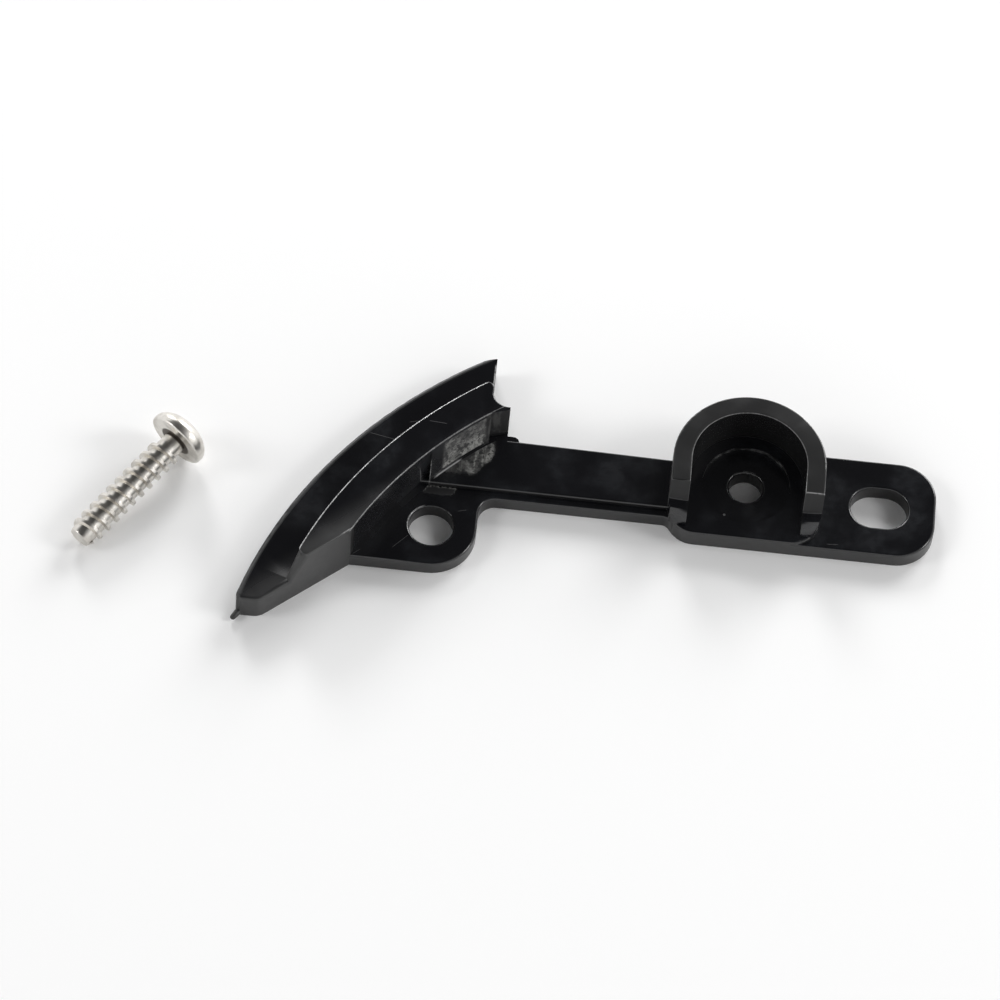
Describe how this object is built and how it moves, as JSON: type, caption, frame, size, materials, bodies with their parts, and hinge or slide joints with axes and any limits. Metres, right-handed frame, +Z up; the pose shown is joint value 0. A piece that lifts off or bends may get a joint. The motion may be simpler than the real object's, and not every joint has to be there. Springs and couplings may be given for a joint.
{
  "type": "stair gate latch",
  "caption": "Flat moulded latch arm with a curved lead-in hook, a tab with a round hole, a raised collar round its pivot hole and a slotted tongue, with its loose fixing screw.",
  "frame": {"origin": "on the axis of the pivot hole in the collar, at the arm's flat underside", "axes": "+X along the arm from the pivot to the tongue, +Y to the side where the catch holds its keeper, +Z up out of the collar"},
  "size_m": [0.1053, 0.0395, 0.0083],
  "materials": {
    "black_plastic": "glossy black moulding with fine scratches",
    "nickel_plate": "bright nickel plate"
  },
  "bodies": {
    "gate_side": {"fixing_screw": "nickel_plate"},
    "arm": {"latch_arm": "black_plastic"}
  },
  "joints": [
    {"name": "latch_pivot", "type": "hinge", "parent": "gate_side", "child": "arm", "pos_m": [0, 0, 0], "axis": [0, 0, 1], "range_deg": [0, 18]}
  ]
}
